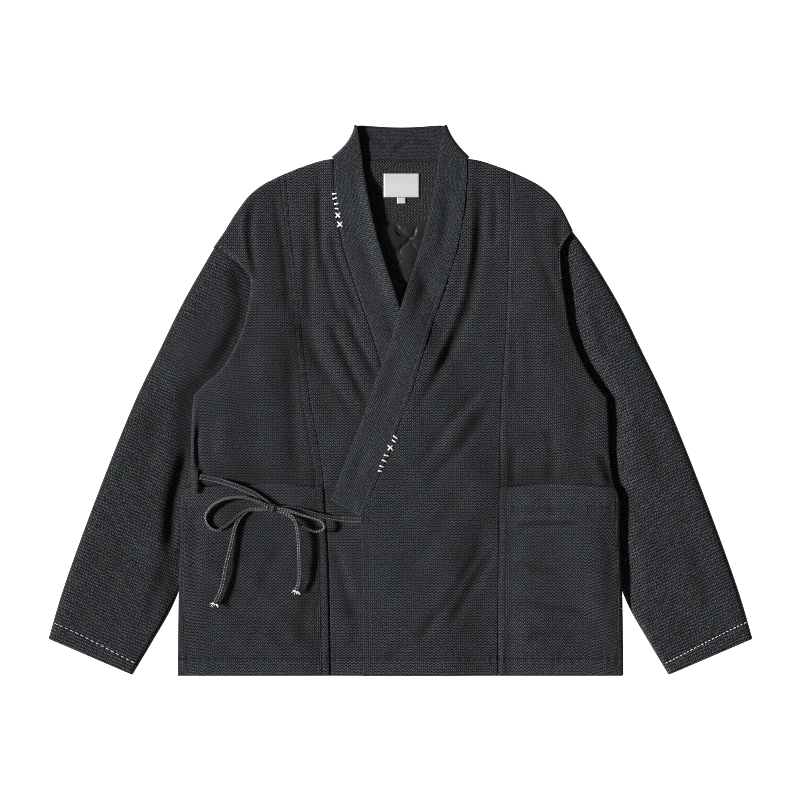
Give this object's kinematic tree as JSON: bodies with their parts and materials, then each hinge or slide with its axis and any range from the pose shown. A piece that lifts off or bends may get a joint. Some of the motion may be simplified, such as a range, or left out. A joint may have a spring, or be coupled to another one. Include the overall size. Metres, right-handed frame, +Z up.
{
  "type": "kimono jacket",
  "caption": "Padded wrap-over jacket with a band collar, patch pockets and a side tie in a bow, laid flat on its back.",
  "frame": {"origin": "on the surface that the jacket lies on, midway between the cuffs and midway between the top of the collar and the hem", "axes": "+X across the jacket towards the front that laps over, +Y from the hem to the collar, +Z up out of the surface"},
  "size_m": [0.9532, 0.7427, 0.0284],
  "materials": {
    "body_cloth": "matte zigzag-woven cotton, near-black indigo",
    "sleeve_cloth": "matte woven cotton, near-black indigo",
    "collar_cloth": "matte woven cotton, near-black indigo",
    "tie_cloth": "matte woven cotton strip with pale stitched edges",
    "lining_cloth": "smooth black quilted lining with a soft sheen",
    "white_cotton": "matte white cotton label and thread"
  },
  "bodies": {
    "root": {"back": "body_cloth", "front_under_centre": "body_cloth", "front_under_side": "body_cloth", "front_over_centre": "body_cloth", "front_over_side": "body_cloth", "pocket_under": "body_cloth", "pocket_over": "body_cloth", "neck_facing": "body_cloth", "sleeve_under": "sleeve_cloth", "sleeve_over": "sleeve_cloth", "collar": "collar_cloth", "lining": "lining_cloth", "neck_label": "white_cotton", "size_tab": "white_cotton", "tie_tab": "tie_cloth", "tie_side": "tie_cloth", "tie_front": "tie_cloth", "bow_loop_left": "tie_cloth", "bow_loop_right": "tie_cloth", "bow_tail_left": "tie_cloth", "bow_tail_right": "tie_cloth", "bow_knot": "tie_cloth"}
  },
  "joints": []
}
